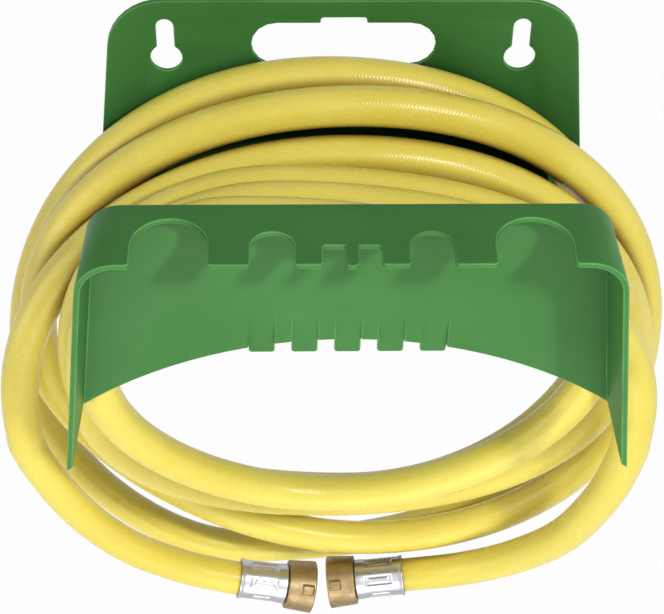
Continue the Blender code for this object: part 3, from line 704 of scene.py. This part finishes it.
# %% [markdown]
# ## Brass swivel ring
#
# The ring is a brass casting with a machined face: slightly wider at its mouth, two small
# grip lugs on its outside, and inside it the thread for a tap. The thread is a ridge whose
# height depends on distance minus angle, so it climbs one pitch in each turn. It fades in
# at the mouth, where a real thread is chamfered, and fades out before the gasket.

# %% Brass and aluminium finishes
ALUMINIUM_LIGHT = (0.50, 0.50, 0.53)
ALUMINIUM_DARK = (0.41, 0.41, 0.44)


def make_brass_finish(name, light, dark, roughness):
    material, tree, shader = new_finish(name, roughness, metallic=1.0)
    space = place_in_space(tree)
    tarnish = noise(tree, space, 160.0, 5.0, 0.65)
    colour = blend_colours(tree, between(tree, tarnish, 0.0, 1.0), light, dark)
    tree.links.new(colour, shader.inputs["Base Color"])
    worn = between(tree, tarnish, roughness - 0.06, roughness + 0.12)
    tree.links.new(worn, shader.inputs["Roughness"])
    grain = noise(tree, space, 2600.0, 3.0)
    bump(tree, shader, grain, 0.00004)
    return material


def make_aluminium_finish():
    material, tree, shader = new_finish("aluminium_sleeve", 0.34, metallic=1.0)
    space = place_in_space(tree)
    cloud = noise(tree, space, 220.0, 4.0)
    share = between(tree, cloud, 0.0, 1.0)
    colour = blend_colours(tree, share, ALUMINIUM_LIGHT, ALUMINIUM_DARK)
    tree.links.new(colour, shader.inputs["Base Color"])
    tree.links.new(between(tree, cloud, 0.28, 0.40), shader.inputs["Roughness"])
    dents = noise(tree, space, 420.0, 2.0)
    bump(tree, shader, dents, 0.00003)
    return material


brass_finish = make_brass_finish("brass_ring", (0.370, 0.275, 0.150), (0.250, 0.175, 0.085), 0.46)
tail_finish = make_brass_finish("brass_tail", (0.620, 0.455, 0.220), (0.520, 0.370, 0.160), 0.28)
aluminium_finish = make_aluminium_finish()

# %% Ring shape
RING_LENGTH = 0.0165
RING_CHAMFER = 0.0014
RING_BACK_RADIUS = 0.0146
RING_FRONT_RADIUS = 0.0158
RING_BORE_RADIUS = 0.0132
RING_LIP = 0.0032
RING_ROUNDING = 0.0009
NECK_RADIUS = 0.0084
CLEARANCE = 0.0003
LUG_HALF_LENGTH = 0.0032
LUG_HALF_WIDTH = 0.0028
LUG_HEIGHT = 0.0011
LUG_MIDDLE = 0.0050
THREAD_PITCH = 0.00181
THREAD_HEIGHT = 0.0008
THREAD_START = 0.0008
THREAD_END = 0.0072
RING_COLUMNS = 240


def ring_change(radius, distance, angle):
    """Lugs: plateau in distance times one in arc. Thread: cosine of distance minus angle."""
    outside = smooth_step(radius, 0.0141, 0.0144)
    from_lug = (angle + np.pi / 2.0) % np.pi - np.pi / 2.0
    across = plateau(from_lug * RING_FRONT_RADIUS, LUG_HALF_WIDTH, 0.0012)
    length = plateau(distance - LUG_MIDDLE, LUG_HALF_LENGTH, 0.0010)
    lug = outside * across * length * (LUG_HEIGHT + RING_FRONT_RADIUS - radius)
    inside = np.abs(radius - RING_BORE_RADIUS) < 0.0002
    wave = 0.5 - 0.5 * np.cos(2.0 * np.pi * (distance / THREAD_PITCH) - angle)
    fade_in = smooth_step(distance, THREAD_START, THREAD_START + 0.0014)
    fade_out = 1.0 - smooth_step(distance, THREAD_END - 0.0012, THREAD_END)
    return lug - inside * fade_in * fade_out * wave * THREAD_HEIGHT


def make_ring(side):
    lip_front = RING_LENGTH - RING_LIP
    corners = [
        (RING_FRONT_RADIUS, 0.0),
        (RING_BACK_RADIUS + 0.0001, RING_LENGTH - RING_CHAMFER),
        (RING_BACK_RADIUS, RING_LENGTH),
        (NECK_RADIUS + CLEARANCE, RING_LENGTH),
        (NECK_RADIUS + CLEARANCE, lip_front),
        (RING_BORE_RADIUS, lip_front),
        (RING_BORE_RADIUS, 0.0),
    ]
    profile = finer(rounded_profile(corners, RING_ROUNDING), 0.00022)
    ring = turned_piece("ring_" + side, side, profile, RING_COLUMNS, brass_finish, ring_change)
    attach(ring, "ring_" + side)
    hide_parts("swivel_ring_" + side)
    return ring


rings = [make_ring(side) for side in ("left", "right")]

# %% [markdown]
# ## Crimped sleeve
#
# The sleeve is drawn aluminium tube, closed in front round the tail's neck and pressed
# onto the hose by six jaws. Each jaw leaves a long flat window with a raised land in its
# middle. The pressing draws the tube in to a long gentle neck, and the back end flares out
# again to a lip. The neck is in the profile, and the windows are a change of its radius.

# %% Sleeve shape
SLEEVE_RADIUS = 0.0120
SLEEVE_NECK_RADIUS = 0.0116
SLEEVE_LIP_RADIUS = 0.01225
JAW_COUNT = 6
JAW_DEPTH = 0.0007
LAND_SHARE = 0.55
SLEEVE_WALL = 0.0010
SLEEVE_ROUNDING = 0.0007
SLEEVE_COLUMNS = 216


def sleeve_change(radius, distance, angle):
    """Each jaw's window: a plateau along times one round, with a smaller one added back inside."""
    outside = smooth_step(radius, 0.0112, 0.0114)
    pitch = 2.0 * np.pi / JAW_COUNT
    from_jaw = ((angle + pitch / 2.0) % pitch - pitch / 2.0) * SLEEVE_RADIUS
    from_middle = distance - (SLEEVE_FRONT + SLEEVE_BACK) / 2.0
    window = plateau(from_jaw, 0.0030, 0.0009) * plateau(from_middle, 0.0080, 0.0012)
    land = plateau(from_jaw, 0.0015, 0.0007) * plateau(from_middle, 0.0055, 0.0008)
    return outside * JAW_DEPTH * (LAND_SHARE * land - window)


def make_sleeve(side):
    inside = HOSE_RADIUS + CLEARANCE
    corners = [
        (SLEEVE_RADIUS, SLEEVE_FRONT),
        (SLEEVE_RADIUS, SLEEVE_FRONT + 0.0030),
        (SLEEVE_NECK_RADIUS, SLEEVE_FRONT + 0.0070),
        (SLEEVE_NECK_RADIUS, SLEEVE_BACK - 0.0026),
        (SLEEVE_LIP_RADIUS, SLEEVE_BACK - 0.0006),
        (SLEEVE_LIP_RADIUS, SLEEVE_BACK),
        (inside, SLEEVE_BACK),
        (inside, SLEEVE_FRONT + SLEEVE_WALL),
        (NECK_RADIUS + CLEARANCE, SLEEVE_FRONT + SLEEVE_WALL),
        (NECK_RADIUS + CLEARANCE, SLEEVE_FRONT),
    ]
    profile = finer(rounded_profile(corners, SLEEVE_ROUNDING), 0.00030)
    sleeve = turned_piece(
        "crimp_sleeve_" + side, side, profile, SLEEVE_COLUMNS, aluminium_finish, sleeve_change
    )
    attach(sleeve, "hanger")
    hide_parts("sleeve_" + side)
    return sleeve


sleeves = [make_sleeve(side) for side in ("left", "right")]

# %% [markdown]
# ## Barbed tail and gasket
#
# Looking into a ring's mouth shows the flat black gasket, and through its hole the bore of
# the brass tail. The tail carries the water: its flange bears on the ring's lip, its neck
# runs through it, and four barbs hold the hose. The gasket is cut from flat rubber sheet,
# so its edges are nearly square.

# %% Tail and gasket shapes
SEAT_FRONT = 0.0108
FLANGE_THICKNESS = 0.0022
TAIL_BORE_RADIUS = 0.0043
BARB_COUNT = 4
BARB_PITCH = 0.0055
BARB_HEIGHT = 0.0007
GASKET_THICKNESS = 0.0025
GASKET_HOLE_RADIUS = 0.0075
SMALL_ROUNDING = 0.00035
TAIL_COLUMNS = 96
RUBBER_DARK = (0.018, 0.018, 0.020)
RUBBER_DUSTY = (0.040, 0.040, 0.042)


def make_gasket_finish():
    material, tree, shader = new_finish("black_gasket", 0.62)
    space = place_in_space(tree)
    dust = noise(tree, space, 500.0, 4.0)
    colour = blend_colours(tree, between(tree, dust, 0.0, 1.0), RUBBER_DARK, RUBBER_DUSTY)
    tree.links.new(colour, shader.inputs["Base Color"])
    bump(tree, shader, noise(tree, space, 1800.0, 2.0), 0.00003)
    return material


gasket_finish = make_gasket_finish()


def make_tail(side):
    flange_radius = RING_BORE_RADIUS - 2.0 * CLEARANCE
    flange_back = SEAT_FRONT + FLANGE_THICKNESS
    barb_radius = BORE_RADIUS - CLEARANCE
    root_radius = barb_radius - BARB_HEIGHT
    corners = [
        (flange_radius, SEAT_FRONT),
        (flange_radius, flange_back),
        (NECK_RADIUS, flange_back),
        (NECK_RADIUS, HOSE_FACE - CLEARANCE),
        (root_radius, HOSE_FACE - CLEARANCE),
    ]
    for index in range(BARB_COUNT):
        crest = HOSE_FACE + BARB_PITCH * (index + 0.3)
        corners += [(root_radius, crest), (barb_radius, crest)]
        corners += [(root_radius, crest + 0.7 * BARB_PITCH)]
    end = HOSE_FACE + SPIGOT_LENGTH
    corners[-1] = (root_radius - 0.0003, end)
    corners += [(TAIL_BORE_RADIUS, end), (TAIL_BORE_RADIUS, SEAT_FRONT)]
    profile = rounded_profile(corners, SMALL_ROUNDING)
    tail = turned_piece("barbed_tail_" + side, side, profile, TAIL_COLUMNS, tail_finish)
    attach(tail, "hanger")
    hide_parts("tail_" + side)
    return tail


def make_gasket(side):
    back = SEAT_FRONT - CLEARANCE
    front = back - GASKET_THICKNESS
    outside, inside = RING_BORE_RADIUS - 2.0 * CLEARANCE, GASKET_HOLE_RADIUS
    corners = [(outside, front), (outside, back), (inside, back), (inside, front)]
    profile = rounded_profile(corners, SMALL_ROUNDING)
    gasket = turned_piece("flat_gasket_" + side, side, profile, TAIL_COLUMNS, gasket_finish)
    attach(gasket, "hanger")
    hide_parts("gasket_" + side)
    return gasket


tails = [make_tail(side) for side in ("left", "right")]
gaskets = [make_gasket(side) for side in ("left", "right")]

# %% [markdown]
# ## The hose's left end
#
# The hose is a free cord: a fixed length of something flexible. The cell below works out
# the point on the left coupling's axis where the hose's end face sits.

behind_mouth("left", HOSE_FACE).tolist()

# %% [markdown]
# ## Floor and background
#
# The background is white, but white must come from what the camera sees and not from more
# light on the object. So the floor is plain pale paper for the light that bounces off it,
# and for the camera it is mixed with white glow, which leaves a faint shadow. The world
# does the same: white to the camera and in reflections, and a low grey as a light.

# %% Floor and world
FLOOR_HEIGHT = -0.90
FLOOR_HALF = 6.0
FLOOR_GLOW_SHARE = 0.97
WORLD_LIGHT = 0.25


def seen_directly(tree):
    """1 for rays from the camera and in reflections or through glass, 0 for diffuse light."""
    path = tree.nodes.new("ShaderNodeLightPath")
    seen = calculate(tree, "ADD", path.outputs["Is Camera Ray"], path.outputs["Is Glossy Ray"])
    seen = calculate(tree, "ADD", seen, path.outputs["Is Transmission Ray"])
    return node(tree, "ShaderNodeClamp", _0=seen).outputs[0]


def make_floor():
    mesh = bpy.data.meshes.new("floor")
    half = FLOOR_HALF
    corners = [(-half, -half, FLOOR_HEIGHT), (half, -half, FLOOR_HEIGHT)]
    corners += [(half, half, FLOOR_HEIGHT), (-half, half, FLOOR_HEIGHT)]
    mesh.from_pydata(corners, [], [(0, 1, 2, 3)])
    material = bpy.data.materials.new("floor_paper")
    material.use_nodes = True
    tree = material.node_tree
    tree.nodes.clear()
    paper = node(tree, "ShaderNodeBsdfDiffuse", Color=(0.80, 0.80, 0.80, 1.0))
    glow = node(tree, "ShaderNodeEmission", Color=(1.0, 1.0, 1.0, 1.0), Strength=1.0)
    share = calculate(tree, "MULTIPLY", seen_directly(tree), FLOOR_GLOW_SHARE)
    mixed = node(tree, "ShaderNodeMixShader", _0=share, _1=paper.outputs[0], _2=glow.outputs[0])
    out = tree.nodes.new("ShaderNodeOutputMaterial")
    tree.links.new(mixed.outputs[0], out.inputs["Surface"])
    mesh.materials.append(material)
    floor = bpy.data.objects.new("floor", mesh)
    bpy.context.scene.collection.objects.link(floor)


def make_world(light):
    world = bpy.data.worlds.new("studio")
    world.use_nodes = True
    tree = world.node_tree
    tree.nodes.clear()
    strength = between(tree, seen_directly(tree), light, 1.0, 0.0, 1.0)
    background = node(tree, "ShaderNodeBackground", Color=(1.0, 1.0, 1.0, 1.0), Strength=strength)
    out = tree.nodes.new("ShaderNodeOutputWorld")
    tree.links.new(background.outputs[0], out.inputs["Surface"])
    bpy.context.scene.world = world


make_floor()
make_world(WORLD_LIGHT)

# %% [markdown]
# ## Lamps
#
# The shadows in the notches fall down and to the left, so the main lamp stands high at the
# right in front, and is small so that they stay sharp. The flange is much brighter than the
# shelf above it and the plate behind, which a lamp from above alone can't do: a soft lamp
# low and close in front lights the flange, while the shelf's top looks away from it. Three
# wide lamps, high in front, left and right, open the shadows on the hose.

# %% The five lamps
def area_lamp(name, towards, distance, size, watts):
    """Square lamp at a distance from the hanger's middle, which it faces."""
    middle = np.array([0.0, -0.07, -0.10])
    towards = np.array(towards) / np.linalg.norm(towards)
    data = bpy.data.lights.new(name, "AREA")
    data.shape = "SQUARE"
    data.size = size
    data.energy = watts
    lamp = bpy.data.objects.new(name, data)
    lamp.visible_camera = False
    side = unit(np.cross(np.array([0.0, 0.0, 1.0]), towards))
    turn = Matrix(np.stack([side, np.cross(towards, side), towards], axis=1).tolist()).to_4x4()
    lamp.matrix_world = Matrix.Translation((middle + distance * towards).tolist()) @ turn
    bpy.context.scene.collection.objects.link(lamp)
    print(f"{name}: {watts} W at {distance} m")


area_lamp("main_lamp", (0.385, -0.574, 0.721), 1.8, 0.14, 18.0)
area_lamp("low_soft_lamp", (0.0, -0.94, -0.34), 0.95, 0.75, 5.1)
area_lamp("high_soft_lamp", (0.0, -0.70, 0.70), 1.6, 1.5, 3.2)
area_lamp("left_soft_lamp", (-0.90, -0.30, -0.05), 1.6, 1.0, 9.0)
area_lamp("right_soft_lamp", (0.90, -0.30, -0.05), 1.6, 1.0, 3.2)

# %% [markdown]
# ## Finish
#
# The picture is shown with the Standard view, so that a colour comes out as it is written.

# %% View
bpy.context.scene.view_settings.view_transform = "Standard"
